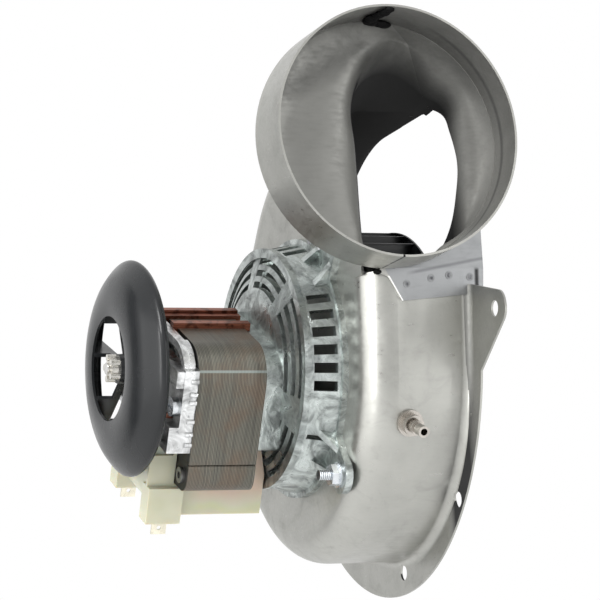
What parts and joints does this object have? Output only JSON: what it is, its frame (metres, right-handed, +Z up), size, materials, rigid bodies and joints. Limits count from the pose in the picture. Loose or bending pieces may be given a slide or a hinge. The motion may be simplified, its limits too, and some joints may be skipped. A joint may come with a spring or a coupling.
{
  "type": "combustion fan",
  "caption": "Draft inducer for a gas furnace: drawn scroll housing with a round outlet collar, vented motor mount, open-frame motor, blower wheel and motor cooling fan.",
  "frame": {"origin": "where the shaft axis meets the mounting plane of the flange, at the middle of the air inlet", "axes": "+Y out of the mounting face along the shaft, away from the motor; +X along the outlet collar, out of its mouth; +Z up"},
  "size_m": [0.2183, 0.1415, 0.2218],
  "materials": {
    "scroll_housing": "satin drawn aluminised steel",
    "outlet_rear": "satin drawn aluminised steel with spot welds",
    "seam_sealant": "matt black high-temperature sealant",
    "pressure_tap": "turned stainless steel",
    "tap_nut": "plain steel",
    "motor_mount": "as-cast die casting",
    "mount_studs": "clear zinc plate",
    "mount_nuts": "clear zinc plate",
    "stator_core": "stacked laminations, lightly varnished",
    "coil_bar": "stacked laminations, lightly varnished",
    "stator_rivets": "plain steel",
    "shading_rings": "bare copper, tarnished",
    "coil_bobbin": "natural nylon, slightly translucent",
    "coil_winding": "enamelled copper wire",
    "terminal_blades": "tinned brass",
    "rear_bracket": "as-cast die casting",
    "motor_screws": "clear zinc plate",
    "front_bearing": "sintered bronze",
    "front_bearing_clip": "spring steel",
    "rear_bearing": "sintered bronze",
    "rear_bearing_clip": "spring steel",
    "shaft": "ground steel",
    "rotor_core": "stacked laminations",
    "rotor_end_rings": "as-cast",
    "thrust_washers": "phenolic fibre",
    "wheel_plate": "satin black coating",
    "wheel_hub": "turned steel",
    "wheel_blades": "satin black coating",
    "wheel_ring": "satin black coating",
    "hub_set_screw": "black oxide",
    "cooling_fan": "semi-gloss black moulding",
    "fan_retainer": "bare metal"
  },
  "bodies": {
    "housing": {"scroll_housing": "scroll_housing", "outlet_rear": "outlet_rear", "seam_sealant": "seam_sealant", "pressure_tap": "pressure_tap", "tap_nut": "tap_nut", "motor_mount": "motor_mount", "mount_studs": "mount_studs", "mount_nuts": "mount_nuts", "stator_core": "stator_core", "coil_bar": "coil_bar", "stator_rivets": "stator_rivets", "shading_rings": "shading_rings", "coil_bobbin": "coil_bobbin", "coil_winding": "coil_winding", "terminal_blades": "terminal_blades", "rear_bracket": "rear_bracket", "motor_screws": "motor_screws", "front_bearing": "front_bearing", "front_bearing_clip": "front_bearing_clip", "rear_bearing": "rear_bearing", "rear_bearing_clip": "rear_bearing_clip"},
    "rotor": {"shaft": "shaft", "rotor_core": "rotor_core", "rotor_end_rings": "rotor_end_rings", "thrust_washers": "thrust_washers", "wheel_plate": "wheel_plate", "wheel_hub": "wheel_hub", "wheel_blades": "wheel_blades", "wheel_ring": "wheel_ring", "hub_set_screw": "hub_set_screw", "cooling_fan": "cooling_fan", "fan_retainer": "fan_retainer"}
  },
  "joints": [
    {"name": "rotor_spin", "type": "hinge", "parent": "housing", "child": "rotor", "pos_m": [0, 0, 0], "axis": [0, 1, 0], "continuous": true}
  ]
}
